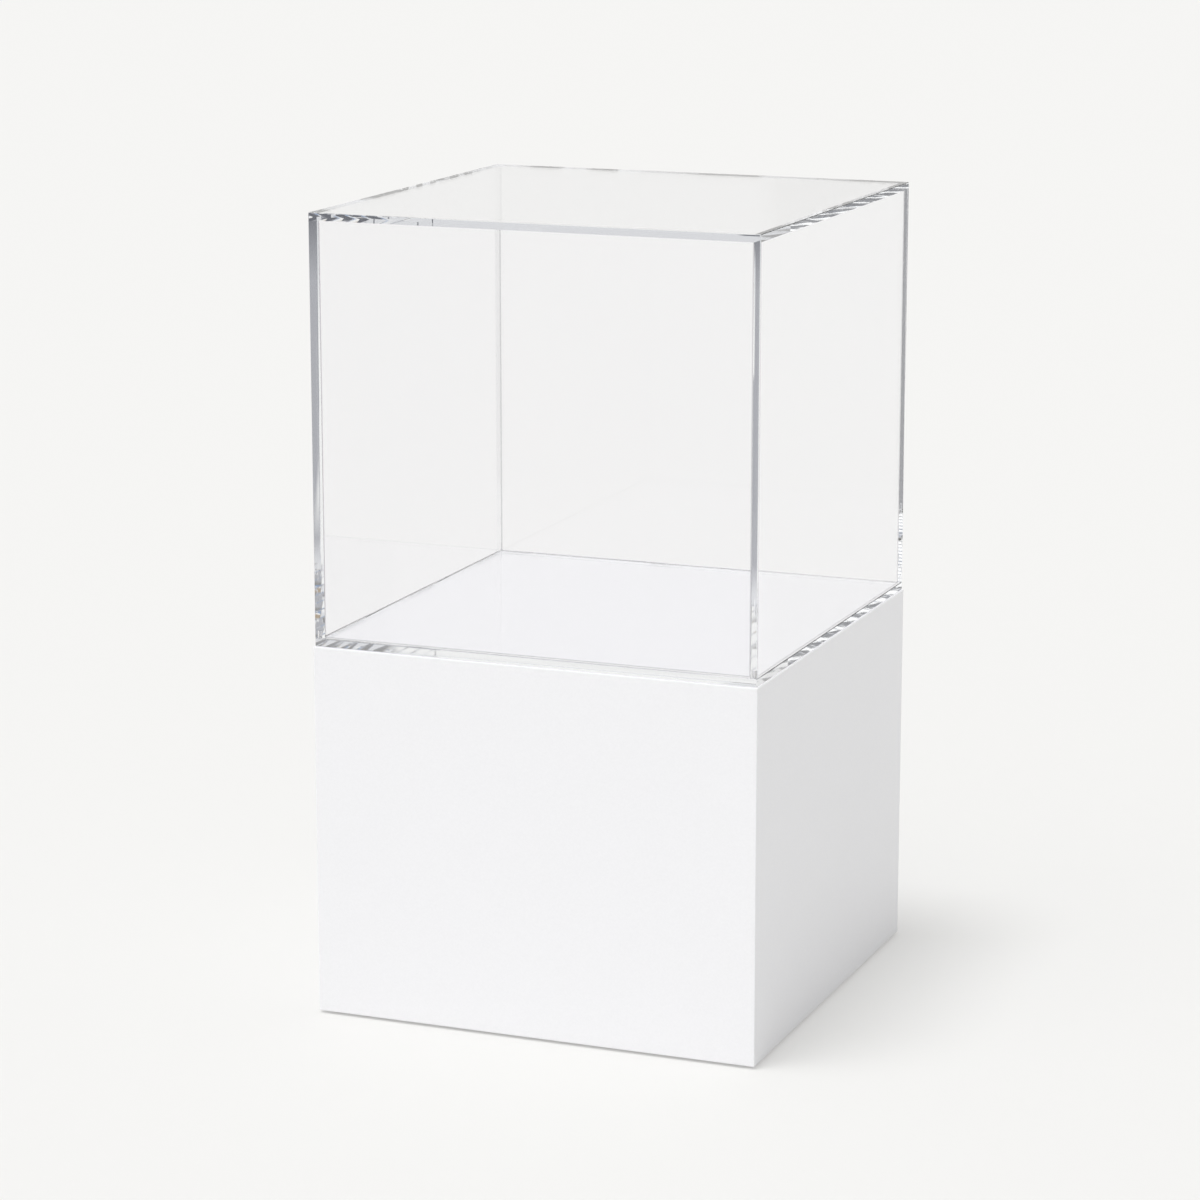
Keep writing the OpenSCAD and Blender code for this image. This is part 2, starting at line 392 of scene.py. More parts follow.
def settle(obj: Object, body: str, nodes: Iterable[str], material: Material) -> None:
    """Gives a finished piece its finish and body, and puts it in the place of its nodes.

    Args:
        obj: The piece.
        body: The body that it moves with.
        nodes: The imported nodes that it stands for.
        material: Its finish.
    """
    obj.data.materials.clear()
    obj.data.materials.append(material)
    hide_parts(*nodes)
    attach(obj, body)
    LOG.info("%s: %d faces on %s", obj.name, len(obj.data.polygons), body)


def dress_node(node: str, material: Material) -> None:
    """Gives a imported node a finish.

    Args:
        node: The node's name.
        material: Its finish.
    """
    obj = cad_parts[node]
    obj.data.materials.clear()
    obj.data.materials.append(material)
    LOG.info("%s: dressed in %s", node, material.name)


# ---- Shader helpers ----


@dataclass(frozen=True)
class Number:
    """A number that a node gives. An operator on it adds a node that works it out.

    Args:
        graph: The graph that the node is in.
        socket: The node's output.
    """

    graph: "Graph"
    socket: NodeSocket

    def __add__(self, other: object) -> "Number":
        """The sum."""
        return self.graph.maths("ADD", self, other)

    def __sub__(self, other: object) -> "Number":
        """The difference."""
        return self.graph.maths("SUBTRACT", self, other)

    def __rsub__(self, other: object) -> "Number":
        """The difference from a plain number."""
        return self.graph.maths("SUBTRACT", other, self)

    def __mul__(self, other: object) -> "Number":
        """The product: for two masks, 1 where both are."""
        return self.graph.maths("MULTIPLY", self, other)

    def __or__(self, other: object) -> "Number":
        """The greater of two: for two masks, 1 where either is."""
        return self.graph.maths("MAXIMUM", self, other)

    def __and__(self, other: object) -> "Number":
        """The lesser of two."""
        return self.graph.maths("MINIMUM", self, other)

    def __lt__(self, other: object) -> "Number":
        """A mask: 1 where it is less."""
        return self.graph.maths("LESS_THAN", self, other)

    def __gt__(self, other: object) -> "Number":
        """A mask: 1 where it is more."""
        return self.graph.maths("GREATER_THAN", self, other)

    def __abs__(self) -> "Number":
        """The number without its sign."""
        return self.graph.maths("ABSOLUTE", self)

    def part(self) -> "Number":
        """What it is past a whole number."""
        return self.graph.maths("FRACT", self)

    def spread(self, span: Span, start: object, end: object) -> "Number":
        """Maps a span of its values to another range, and holds it there.

        Args:
            span: The span.
            start: What its start becomes.
            end: What its end becomes.

        Returns:
            The mapped number.
        """
        node = self.graph.add("ShaderNodeMapRange")
        self.graph.feed(node, i0=self, i1=span[0], i2=span[1], i3=start, i4=end)
        return Number(self.graph, node.outputs[0])

    def rise(self, span: Span) -> "Number":
        """Goes from 0 to 1 over a span."""
        return self.spread(span, 0, 1)

    def fall(self, span: Span) -> "Number":
        """Goes from 1 to 0 over a span."""
        return self.spread(span, 1, 0)


class Graph:
    """A node tree that is built a node at a time."""

    def __init__(self, tree: NodeTree) -> None:
        """Starts from an empty tree."""
        self.tree = tree
        tree.nodes.clear()

    def add(self, kind: str, **settings: object) -> Node:
        """Adds a node.

        Args:
            kind: The node's type.
            settings: Its properties.

        Returns:
            The node.
        """
        node = self.tree.nodes.new(kind)
        for name, value in settings.items():
            setattr(node, name, value)
        return node

    def feed(self, node: Node, **values: object) -> Node:
        """Sets or links a node's inputs.

        Args:
            node: The node.
            values: For each input a value or where it comes from, by the input's name with _
                for a space, or by i and its number.

        Returns:
            The node.
        """
        for name, value in values.items():
            by_number = name[0] == "i" and name[1:].isdigit()
            socket = node.inputs[int(name[1:]) if by_number else name.replace("_", " ")]
            if isinstance(value, Number):
                value = value.socket
            if isinstance(value, NodeSocket):
                self.tree.links.new(value, socket)
            elif isinstance(value, tuple) and len(value) == 3 and socket.type == "RGBA":
                socket.default_value = (*value, 1)
            else:
                socket.default_value = value
        return node

    def shader(self, kind: str, **values: object) -> NodeSocket:
        """Adds a shader with its inputs, and gives its output."""
        return self.feed(self.add(kind), **values).outputs[0]

    def place(self, group: NodeTree, **values: object) -> Mapping[str, NodeSocket]:
        """Places a shader group with its inputs, and gives its outputs."""
        return self.feed(self.add("ShaderNodeGroup", node_tree=group), **values).outputs

    def maths(self, operation: str, *values: object) -> Number:
        """Adds a Math node.

        Args:
            operation: What it does.
            values: Its inputs, in order.

        Returns:
            Its output.
        """
        node = self.add("ShaderNodeMath", operation=operation)
        self.feed(node, **{f"i{index}": value for index, value in enumerate(values)})
        return Number(self, node.outputs[0])

    def mix(self, share: object, first: object, second: object) -> NodeSocket:
        """Mixes two colours, by the share of the second."""
        node = self.add("ShaderNodeMix", data_type="RGBA")
        return self.feed(node, i0=share, i6=first, i7=second).outputs[2]

    def mix_numbers(self, share: object, first: object, second: object) -> Number:
        """Mixes two numbers, by the share of the second."""
        node = self.add("ShaderNodeMix", data_type="FLOAT")
        return Number(self, self.feed(node, i0=share, i2=first, i3=second).outputs[0])

    def mix_shaders(self, share: object, first: NodeSocket, second: NodeSocket) -> NodeSocket:
        """Mixes two shaders, by the share of the second."""
        return self.shader("ShaderNodeMixShader", i0=share, i1=first, i2=second)

    def noise(self, place: NodeSocket, **values: object) -> Number:
        """Adds a noise over places, with its inputs."""
        node = self.feed(self.add("ShaderNodeTexNoise"), Vector=place, **values)
        return Number(self, node.outputs["Fac"])

    def coordinate(self, kind: str = "Object") -> NodeSocket:
        """The place of a point on the object. Generated, in a world, is a ray's direction."""
        return self.add("ShaderNodeTexCoord").outputs[kind]

    def split(self, vector: NodeSocket) -> list[Number]:
        """The X, Y and Z of a vector."""
        node = self.feed(self.add("ShaderNodeSeparateXYZ"), Vector=vector)
        return [Number(self, socket) for socket in node.outputs]

    def bump(self, height: object, distance: float) -> NodeSocket:
        """The normal of a fine relief of some depth."""
        return self.shader("ShaderNodeBump", Height=height, Distance=distance, Strength=1.0)

    def principled(self, **values: object) -> None:
        """Ends the graph in a Principled surface with its inputs."""
        self.end(Surface=self.shader("ShaderNodeBsdfPrincipled", **values))

    def end(self, kind: str = "ShaderNodeOutputMaterial", **values: object) -> None:
        """Ends the graph in its output."""
        self.feed(self.add(kind), **values)


def new_material(name: str) -> tuple[Material, Graph]:
    """Makes an empty material.

    Args:
        name: Its name.

    Returns:
        The material, and the graph of its nodes.
    """
    material = bpy.data.materials.new(name)
    material.use_nodes = True
    return material, Graph(material.node_tree)


def new_group(
    name: str, inputs: Mapping[str, object], outputs: Mapping[str, str]
) -> tuple[NodeTree, Graph, Mapping[str, NodeSocket], Node]:
    """Makes a shader node group.

    Args:
        name: Its name.
        inputs: The default of each input, a number or a colour.
        outputs: The type of each output.

    Returns:
        The group, its graph, what its inputs give, and its output node.
    """
    tree = bpy.data.node_groups.new(name, "ShaderNodeTree")
    for label, value in inputs.items():
        kind = COLOUR if isinstance(value, tuple) else FLOAT
        socket = tree.interface.new_socket(label, in_out="INPUT", socket_type=kind)
        socket.default_value = value
    for label, kind in outputs.items():
        tree.interface.new_socket(label, in_out="OUTPUT", socket_type=kind)
    graph = Graph(tree)
    return tree, graph, graph.add("NodeGroupInput").outputs, graph.add("NodeGroupOutput")


def mottle_group() -> NodeTree:
    """A cloudy change between two colours, with a finer change of roughness.

    Returns:
        The group: Colour and Roughness.
    """
    tree, graph, given, made = new_group(
        "mottle",
        {
            "Light": (1, 1, 1, 1), "Dark": (0.5, 0.5, 0.5, 1), "Cloud Scale": 10.0,
            "Grain Scale": 1500.0, "Grain": 0.0, "Smooth": 0.3, "Rough": 0.4,
            "Streak Scale": 40.0,
        },
        {"Colour": COLOUR, "Roughness": FLOAT},
    )
    place = graph.coordinate()
    cloud = graph.noise(place, Scale=given["Cloud Scale"], Detail=3.0)
    streak = graph.noise(place, Scale=given["Streak Scale"], Detail=5.0, Distortion=0.4)
    grain = graph.noise(place, Scale=given["Grain Scale"], Detail=1.0)
    share = graph.mix_numbers(given["Grain"], cloud, grain).rise(NOISE)
    graph.feed(
        made,
        Colour=graph.mix(share, given["Light"], given["Dark"]),
        Roughness=streak.spread(NOISE, given["Smooth"], given["Rough"]),
    )
    return tree


def peel_group() -> NodeTree:
    """A fine ripple, as sprayed lacquer and moulded plastic have.

    Returns:
        The group: Height.
    """
    tree, graph, given, made = new_group(
        "peel", {"Ripple Scale": 400.0, "Grit Scale": 3000.0, "Grit": 0.2}, {"Height": FLOAT}
    )
    place = graph.coordinate()
    ripple = graph.noise(place, Scale=given["Ripple Scale"], Detail=2.0)
    grit = graph.noise(place, Scale=given["Grit Scale"], Detail=1.0)
    graph.feed(made, Height=ripple + grit * given["Grit"])
    return tree


class Effects:
    """The shader groups that the finishes share, each made once."""

    def __init__(self) -> None:
        """Makes the groups."""
        self.mottle = mottle_group()
        self.peel = peel_group()


# ---- Finishes ----


@dataclass(frozen=True)
class Lacquer:
    """Sprayed white lacquer over board, with the board's own colour where it isn't sprayed.

    Args:
        inner: Half the width between the boards.
        deck_underside: Height of the deck's underside.
        margin: How far the bare board reaches past these two faces.
        light: The lacquer's colour.
        dark: The colour of its faint clouds.
        smooth: The least roughness.
        rough: The most roughness.
        peel: Height of the spray's ripple.
        bare: The colour of the board inside.
        bare_rough: Its roughness.
    """

    inner: float
    deck_underside: float
    margin: float = 0.0005
    light: Colour = (0.899, 0.899, 0.916)
    dark: Colour = (0.879, 0.879, 0.896)
    smooth: float = 0.28
    rough: float = 0.33
    peel: float = 0.000006
    bare: Colour = (0.42, 0.30, 0.19)
    bare_rough: float = 0.9

    def material(self, effects: Effects) -> Material:
        """Makes the finish.

        Args:
            effects: The shared shader groups.

        Returns:
            The material.
        """
        material, graph = new_material("white_lacquer")
        spray = graph.place(
            effects.mottle, Light=self.light, Dark=self.dark, Cloud_Scale=9.0, Grain_Scale=450.0,
            Grain=0.9, Smooth=self.smooth, Rough=self.rough, Streak_Scale=30.0,
        )
        ripple = graph.place(effects.peel, Ripple_Scale=420.0, Grit_Scale=2600.0, Grit=0.1)
        x, y, z = graph.split(graph.coordinate())
        between = (abs(x) | abs(y)) < self.inner + self.margin
        inside = between * (z < self.deck_underside + self.margin)
        graph.principled(
            Base_Color=graph.mix(inside, spray["Colour"], self.bare),
            Roughness=Number(graph, spray["Roughness"]) | inside * self.bare_rough,
            Normal=graph.bump(ripple["Height"], self.peel),
            IOR=1.5,
        )
        return material


@dataclass(frozen=True)
class Acrylic:
    """Clear cast acrylic, with the waves that sawing and polishing leave in its cut edges.

    Args:
        tint: What each face lets through.
        lamp_tint: What a face lets through of the light from lamps.
        index: The index of refraction.
        haze: The most roughness, where it was wiped.
        wipe_scale: How close together the wiped places lie.
        depth_colour: The colour that a long way through it turns to.
        depth_density: How fast it turns to that colour.
        plate_top: Height of the base plate's upper face.
        top_sheet: Height of the top sheet's underside.
        sheet: Thickness of the sheets.
        edge_place: How far from the middle the cut edges lie, less the bevel.
        inside: How far from the middle the walls' inner faces lie.
        line: Width of the line of cement in the cover's inner corners, and of the line of painted
            shade along its walls' foot, over the base plate.
        line_tint: What such a line lets through.
        steep: A face is a cut edge where its normal's Z is less than this.
        level: A face is level where its normal's Z is more than this.
        twist: How far polishing tilts the front cut edge up and down, as a slope.
        twist_right: How far it tilts the right cut edge.
        twist_x: Length of one twist along the front.
        twist_y: Its length along the right side.
        twist_turn: How much of a twist's length its upper half takes.
        twist_end: Where along the front it fades out.
        drift: How far the twists wander, in lengths of one.
        drift_scale: How fast they wander.
        arrow: How high up from the middle of the top's front edge a twist lags by one length.
        slant_front: How high up the base plate's front edge it does so.
        slant_low: How high up the right edge of the base plate it does so.
        slant_high: How high up the right edge of the top sheet it does so.
        foot_wave: Length of one ripple along the foot of the walls.
        foot_tilt: How far it tilts the foot, as a slope.
        foot_tilt_right: How far at the right wall, which was polished better.
        foot_height: Height of the foot's faces, its bevels included.
    """

    tint: Colour = (0.985, 0.984, 0.991)
    lamp_tint: Colour = (0.993, 0.993, 0.996)
    index: float = 1.49
    haze: float = 0.003
    wipe_scale: float = 9.0
    depth_colour: Colour = (0.76, 0.82, 0.86)
    depth_density: float = 0.3
    plate_top: float = 0.3756
    top_sheet: float = 0.7756
    sheet: float = 0.008
    edge_place: float = 0.2229
    inside: float = 0.2155
    line: float = 0.0011
    line_tint: Colour = (0.50, 0.50, 0.52)
    steep: float = 0.3
    level: float = 0.9
    twist: float = 0.045
    twist_right: float = 0.025
    twist_x: float = 0.0168
    twist_y: float = 0.046
    twist_turn: float = 0.25
    twist_end: Span = (-0.148, -0.138)
    drift: float = 0.8
    drift_scale: float = 9.0
    arrow: float = 0.006
    slant_front: float = -0.006
    slant_low: float = 0.020
    slant_high: float = 0.006
    foot_wave: float = 0.17
    foot_tilt: float = 0.09
    foot_tilt_right: float = 0.022
    foot_height: float = 0.001

    def material(self, effects: Effects) -> Material:
        """Makes the finish.

        Args:
            effects: The shared shader groups.

        Returns:
            The material.
        """
        material, graph = new_material("clear_acrylic")
        ray = graph.add("ShaderNodeLightPath").outputs
        wipe = graph.place(
            effects.mottle, Light=self.tint, Dark=self.tint, Smooth=0.0, Rough=self.haze,
            Streak_Scale=self.wipe_scale,
        )
        clear = graph.shader(
            "ShaderNodeBsdfPrincipled",
            Normal=self._normal(graph),
            Base_Color=self._tint(graph, Number(graph, ray["Glossy Depth"])),
            Roughness=wipe["Roughness"],
            IOR=self.index,
            Transmission_Weight=1.0,
        )
        open_way = graph.shader("ShaderNodeBsdfTransparent", Color=self.lamp_tint)
        seen = graph.mix_shaders(ray["Is Diffuse Ray"], clear, open_way)
        depth = graph.shader(
            "ShaderNodeVolumeAbsorption", Color=self.depth_colour, Density=self.depth_density
        )
        graph.end(Surface=graph.mix_shaders(ray["Is Shadow Ray"], seen, open_way), Volume=depth)
        return material

    def _tint(self, graph: Graph, mirrored: Number) -> NodeSocket:
        """Draws the thin grey lines of cement in the cover's inner corners, and a thin line of
        painted shade along its walls' foot.

        Args:
            graph: The material's graph.
            mirrored: How often a ray was reflected. The lines don't show in a reflection.

        Returns:
            What a face lets through.
        """
        x, y, z = graph.split(graph.coordinate())
        x, y = abs(x), abs(y)
        between = (x | y) < self.inside + 2 * MERGE
        wall = between * ((z > self.plate_top + MERGE) * (z < self.top_sheet + MERGE))
        corner = (x & y) > self.inside - self.line
        # Grey cement in the inner corners; along the foot, painted shade of the gap between the
        # walls and the base plate.
        drawn = wall * (corner | (z < self.plate_top + self.line)) * (mirrored < 0.5)
        return graph.mix(drawn, self.tint, self.line_tint)

    def _normal(self, graph: Graph) -> NodeSocket:
        """Tilts the normal where sawing and polishing left waves.

        Args:
            graph: The material's graph.

        Returns:
            The normal.
        """
        place = graph.split(graph.coordinate())
        shape = graph.add("ShaderNodeNewGeometry").outputs
        slope = abs(graph.split(shape["True Normal"])[2])
        across = abs(place[1]) > self.inside
        ripple = self._ripple(graph, place, slope)
        tilt = graph.add("ShaderNodeCombineXYZ")
        twist = self._twist(graph, place, slope)
        graph.feed(tilt, i0=ripple * across, i1=ripple * (1.0 - across), i2=twist)
        tilted = graph.add("ShaderNodeVectorMath", operation="ADD")
        graph.feed(tilted, i0=shape["Normal"], i1=tilt.outputs[0])
        normal = graph.add("ShaderNodeVectorMath", operation="NORMALIZE")
        return graph.feed(normal, i0=tilted.outputs[0]).outputs[0]

    def _twist(self, graph: Graph, place: Sequence[Number], slope: Number) -> Number:
        """The slow twist in the cut edges of the two flat sheets.

        Args:
            graph: The material's graph.
            place: The X, Y and Z of the point.
            slope: The Z of the face's normal there, without its sign.

        Returns:
            How far the normal tilts up.
        """
        x, y, z = place
        low, high = z < self.plate_top, z > self.top_sheet
        up_low = low * (z - (self.plate_top - self.sheet / 2))
        up_high = high * (z - (self.top_sheet + self.sheet / 2))
        right = x > self.edge_place
        edges = ((y < -self.edge_place) | right) * (slope < self.steep)
        wander = graph.add("ShaderNodeTexNoise", noise_dimensions="1D")
        graph.feed(wander, W=x + y, Scale=self.drift_scale, Detail=1.0)
        front_lag = up_low * (1 / self.slant_front) + abs(up_high) * (1 / self.arrow)
        right_lag = up_low * (1 / self.slant_low) + up_high * (1 / self.slant_high)
        phase = graph.mix_numbers(
            right, x * (1 / self.twist_x) + front_lag, y * (1 / self.twist_y) + right_lag
        ) + Number(graph, wander.outputs["Fac"]) * self.drift
        way = right.spread((0, 1), 1, -1)
        turn = (phase * way).part()
        turn = turn.fall((0, self.twist_turn)) + turn.spread((self.twist_turn, 1), 0, -1)
        front = x.spread(self.twist_end, self.twist, 0)
        turn = turn * way * graph.mix_numbers(right, front, self.twist_right)
        return (low | high) * edges * turn

    def _ripple(self, graph: Graph, place: Sequence[Number], slope: Number) -> Number:
        """The ripple in the foot of the walls.

        Args:
            graph: The material's graph.
            place: The X, Y and Z of the point.
            slope: The Z of the face's normal there, without its sign.

        Returns:
            How far the normal tilts along the wall.
        """
        x, y, z = place
        foot = (z > self.plate_top + MERGE) * (z < self.plate_top + self.foot_height)
        wave = ((x + y) * (1 / self.foot_wave)).part().spread((0, 1), 1, -1)
        most = x.spread((0, self.inside), self.foot_tilt, self.foot_tilt_right)
        return wave * most * ((slope > self.level) * foot)


@dataclass(frozen=True)
class Mottled:
    """A finish of two mingled colours: raw board, moulded plastic or plated metal.

    Args:
        name: The material's name.
        light: Its main colour.
        dark: The colour of its specks, clouds or duller patches.
        smooth: The least roughness.
        rough: The most roughness.
        cloud_scale: How close together the dark places lie.
        streak_scale: How close together the rough places lie.
        ripple_scale: How close together the bumps of its relief lie.
        grit_scale: How close together the relief's finer grains lie.
        grit: How high they are, as a share of the bumps.
        relief: Height of the relief, or 0 for none.
        metallic: 1 for metal, and 0 for anything else.
    """

    name: str
    light: Colour
    dark: Colour
    smooth: float
    rough: float
    cloud_scale: float
    streak_scale: float
    ripple_scale: float = 0.0
    grit_scale: float = 0.0
    grit: float = 0.0
    relief: float = 0.0
    metallic: float = 0.0

    def material(self, effects: Effects) -> Material:
        """Makes the finish.

        Args:
            effects: The shared shader groups.

        Returns:
            The material.
        """
        material, graph = new_material(self.name)
        mottle = graph.place(
            effects.mottle, Light=self.light, Dark=self.dark, Cloud_Scale=self.cloud_scale,
            Smooth=self.smooth, Rough=self.rough, Streak_Scale=self.streak_scale,
        )
        looks = {"Base_Color": mottle["Colour"], "Roughness": mottle["Roughness"]}
        if self.relief:
            peel = graph.place(
                effects.peel, Ripple_Scale=self.ripple_scale, Grit_Scale=self.grit_scale,
                Grit=self.grit,
            )
            looks["Normal"] = graph.bump(peel["Height"], self.relief)
        graph.principled(Metallic=self.metallic, **looks)
        return material


FIBREBOARD = Mottled(
    "raw_fibreboard", (0.45, 0.32, 0.20), (0.36, 0.25, 0.15), smooth=0.75, rough=0.92,
    cloud_scale=900.0, streak_scale=300.0, ripple_scale=900.0, grit_scale=4000.0, grit=0.6,
    relief=0.00015,
)
NYLON = Mottled(
    "dark_nylon", (0.030, 0.030, 0.032), (0.018, 0.018, 0.020), smooth=0.45, rough=0.62,
    cloud_scale=200.0, streak_scale=600.0, ripple_scale=1800.0, grit_scale=5000.0, grit=0.5,
    relief=0.00005,
)
BRASS = Mottled(
    "brass", (0.78, 0.60, 0.28), (0.62, 0.45, 0.20), smooth=0.22, rough=0.42,
    cloud_scale=300.0, streak_scale=1200.0, metallic=1.0,
)
ZINC = Mottled(
    "zinc_plate", (0.74, 0.75, 0.77), (0.60, 0.61, 0.64), smooth=0.22, rough=0.42,
    cloud_scale=300.0, streak_scale=1200.0, metallic=1.0,
)


class Grain(Enum):
    """The way that a piece of softwood's grain runs."""

    ALONG_X = (0.05, 1.0, 1.0)
    ALONG_Y = (1.0, 0.05, 1.0)
    ALONG_Z = (1.0, 1.0, 0.05)


@dataclass(frozen=True)
class Softwood:
    """Planed pine, with growth rings and fine grain.

    Args:
        grain: The way that the grain runs.
        early: The colour of the light wood.
        late: The colour of the dark rings.
        late_from: Where in a ring's wave the dark wood starts and is darkest.
        smooth: The least roughness.
        rough: The most roughness.
        relief: Height of the fine grain.
    """

    grain: Grain
    early: Colour = (0.72, 0.53, 0.31)
    late: Colour = (0.52, 0.32, 0.15)
    late_from: Span = (0.35, 1.0)
    smooth: float = 0.55
    rough: float = 0.8
    relief: float = 0.0001

    def material(self) -> Material:
        """Makes the finish.

        Returns:
            The material.
        """
        material, graph = new_material(f"softwood_{self.grain.name.lower()}")
        place = graph.add("ShaderNodeMapping")
        graph.feed(place, Vector=graph.coordinate(), Scale=self.grain.value)
        ring = graph.add("ShaderNodeTexWave", wave_type="RINGS")
        graph.feed(
            ring, Vector=place.outputs[0], Scale=60.0, Distortion=6.0, Detail=2.0, Detail_Scale=1.5
        )
        fine = graph.noise(place.outputs[0], Scale=900.0, Detail=4.0)
        share = Number(graph, ring.outputs["Fac"]).rise(self.late_from)
        graph.principled(
            Base_Color=graph.mix(share, self.early, self.late),
            Roughness=fine.spread(NOISE, self.smooth, self.rough),
            Normal=graph.bump(fine, self.relief),
        )
        return material


# ---- Sub-assemblies ----


@dataclass
class ClearCase:
    """The bonded cover that lifts off, and the base plate with its pins.

    Args:
        bevel: Width of the polished bevel along the outer edges.
        bevel_faces: How many faces go round it.
        pin_radius: Radius of a locating pin.
        pin_bevel: Bevel on a pin's end.
        socket_clearance: Clearance round and over a pin in the cover.
        pin_sides: How many sides a pin and its socket have.
    """

    bevel: float = 0.0006
    bevel_faces: int = 2
    pin_radius: float = 0.002
    pin_bevel: float = 0.001
    socket_clearance: float = 0.0002
    pin_sides: int = 32

    def build(self, material: Material) -> None:
        """Models both pieces in the clear finish."""
        self._build_cover(material)
        self._build_base(material)

    def _pins(self) -> tuple[list[Vector], float]:
        """Finds where the pins stand.

        Returns:
            The middle of each pin on the base plate, and the height that they stand above it.
        """
        low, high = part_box("locating_pins")
        plate_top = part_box("base_plate")[1].z
        reach = high.x - self.pin_radius
        feet = [Vector((c.value[0] * reach, c.value[1] * reach, plate_top)) for c in Corner]
        return feet, high.z - plate_top

    def _build_cover(self, material: Material) -> None:
        """Models the cover as one clear body, because its sheets are bonded without a film.

        Args:
            material: The clear finish.
        """
        top_low, top_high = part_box("cover_top")
        wall_low, wall_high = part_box("cover_front")
        sheet = top_high.z - top_low.z
        cover = add_block("acrylic_cover", Vector((top_low.x, top_low.y, wall_low.z)), top_high)
        bevel_edges(cover, self.bevel, self.bevel_faces)
        with editing(cover):
            select(cover, Pick.FACES, lambda face: face.normal.z < -FLAT)
            bpy.ops.mesh.inset(thickness=sheet - self.bevel, depth=0)
            bpy.ops.mesh.extrude_region_move(
                TRANSFORM_OT_translate={"value": (0, 0, wall_high.z - wall_low.z)}
            )
        feet, rise = self._pins()
        depth = rise + self.socket_clearance
        radius = self.pin_radius + self.socket_clearance
        below = Vector((0, 0, depth))
        sockets = [
            add_rod("socket", foot - below, 2 * depth, radius, self.pin_sides) for foot in feet
        ]
        combine(cover, sockets, Merge.CUT)
        nodes = ["cover_top", *(f"cover_{side.value}" for side in Side)]
        settle(cover, "cover", nodes, material)

    def _build_base(self, material: Material) -> None:
        """Models the base plate and the pins that are bonded into it.

        Args:
            material: The clear finish.
        """
        low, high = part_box("base_plate")
        plate = add_block("acrylic_base", low, high)
        bevel_edges(plate, self.bevel, self.bevel_faces)
        feet, rise = self._pins()
        sunk = (high.z - low.z) / 2
        pins = []
        for foot in feet:
            start = foot - Vector((0, 0, sunk))
            pin = add_rod("pin", start, sunk + rise, self.pin_radius, self.pin_sides)
            bevel_edges(pin, self.pin_bevel, self.bevel_faces, lies_at(foot.z + rise))
            pins.append(pin)
        combine(plate, pins, Merge.JOINED)
        settle(plate, "pedestal", ["base_plate", "locating_pins"], material)


@dataclass
class Pedestal:
    """The lacquered boards, the bottom panel and the frame inside."""

    def dress(self, effects: Effects) -> None:
        """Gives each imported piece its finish.

        Args:
            effects: The shared shader groups.
        """
        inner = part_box("deck_cleat_front")[1].x
        lacquer = Lacquer(inner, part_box("deck")[0].z).material(effects)
        for node in ("deck", *(f"{side.value}_panel" for side in Side)):
            dress_node(node, lacquer)
        dress_node("bottom_panel", FIBREBOARD.material(effects))
        woods = {grain: Softwood(grain).material() for grain in Grain}
        for side in Side:
            along_x = side in (Side.FRONT, Side.BACK)
            wood = woods[Grain.ALONG_X if along_x else Grain.ALONG_Y]
            dress_node(f"deck_cleat_{side.value}", wood)
            dress_node(f"floor_cleat_{side.value}", wood)
        brass = BRASS.material(effects)
        for corner in Corner:
            dress_node(f"corner_block_{corner.label}", woods[Grain.ALONG_Z])
            dress_node(f"foot_block_{corner.label}", woods[Grain.ALONG_X])
            dress_node(f"insert_{corner.label}", brass)


